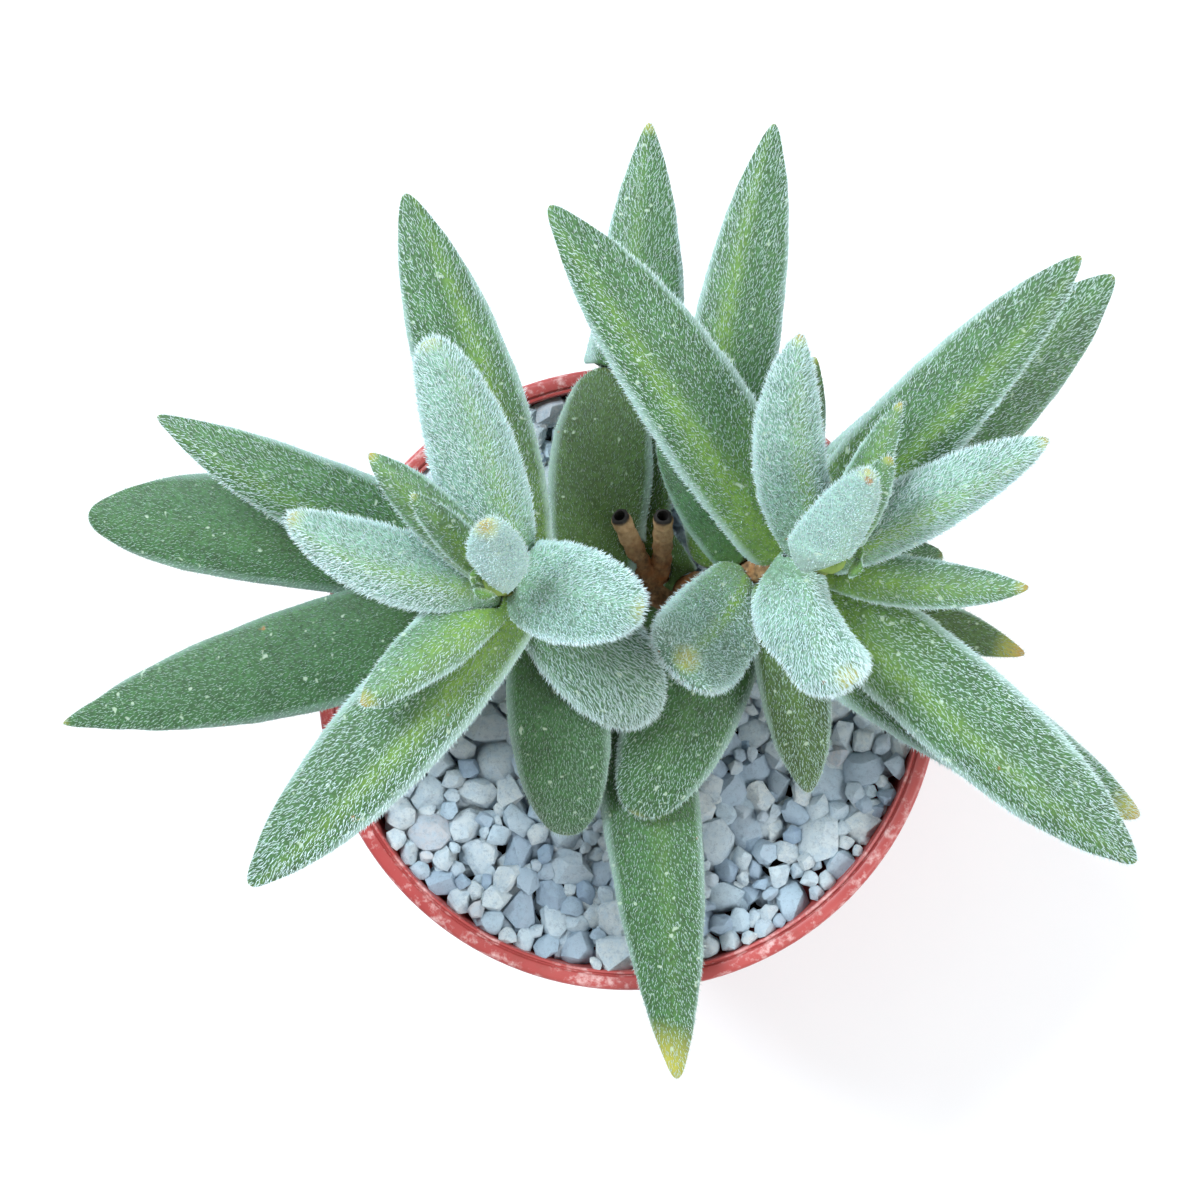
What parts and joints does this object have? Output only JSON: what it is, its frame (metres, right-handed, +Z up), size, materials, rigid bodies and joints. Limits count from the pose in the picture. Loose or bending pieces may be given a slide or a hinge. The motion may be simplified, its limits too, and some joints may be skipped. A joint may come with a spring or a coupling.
{
  "type": "potted succulent",
  "caption": "Round tapered nursery pot with gravel over soil, holding a forked succulent with thick, hairy, pointed leaves.",
  "frame": {"origin": "centre of the pot's flat underside", "axes": "+Z up along the pot's axis; +X to the right and +Y away from the viewer when the pot is seen from the front"},
  "size_m": [0.1489, 0.1344, 0.1361],
  "materials": {
    "pot_plastic": "satin",
    "potting_soil": "matte",
    "pumice": "matte",
    "stem_bark": "matte",
    "leaf_skin": "matte",
    "bud_skin": "matte"
  },
  "bodies": {
    "root": {"pot": "pot_plastic", "soil": "potting_soil", "gravel": "pumice", "stem": "stem_bark", "left_bud_01": "bud_skin", "left_bud_02": "bud_skin", "left_leaf_01": "leaf_skin", "left_leaf_02": "leaf_skin", "left_leaf_03": "leaf_skin", "left_leaf_04": "leaf_skin", "left_leaf_05": "leaf_skin", "left_leaf_06": "leaf_skin", "left_leaf_07": "leaf_skin", "left_leaf_08": "leaf_skin", "left_leaf_09": "leaf_skin", "left_leaf_10": "leaf_skin", "left_leaf_11": "leaf_skin", "left_leaf_12": "leaf_skin", "left_leaf_13": "leaf_skin", "left_leaf_14": "leaf_skin", "left_leaf_15": "leaf_skin", "left_leaf_16": "leaf_skin", "left_leaf_17": "leaf_skin", "right_bud_01": "bud_skin", "right_bud_02": "bud_skin", "right_leaf_01": "leaf_skin", "right_leaf_02": "leaf_skin", "right_leaf_03": "leaf_skin", "right_leaf_04": "leaf_skin", "right_leaf_05": "leaf_skin", "right_leaf_06": "leaf_skin", "right_leaf_07": "leaf_skin", "right_leaf_08": "leaf_skin", "right_leaf_09": "leaf_skin", "right_leaf_10": "leaf_skin", "right_leaf_11": "leaf_skin", "right_leaf_12": "leaf_skin", "right_leaf_13": "leaf_skin", "right_leaf_14": "leaf_skin", "right_leaf_15": "leaf_skin", "right_leaf_16": "leaf_skin", "right_leaf_17": "leaf_skin", "right_leaf_18": "leaf_skin", "right_leaf_19": "leaf_skin", "right_leaf_20": "leaf_skin", "right_leaf_21": "leaf_skin"}
  },
  "joints": []
}
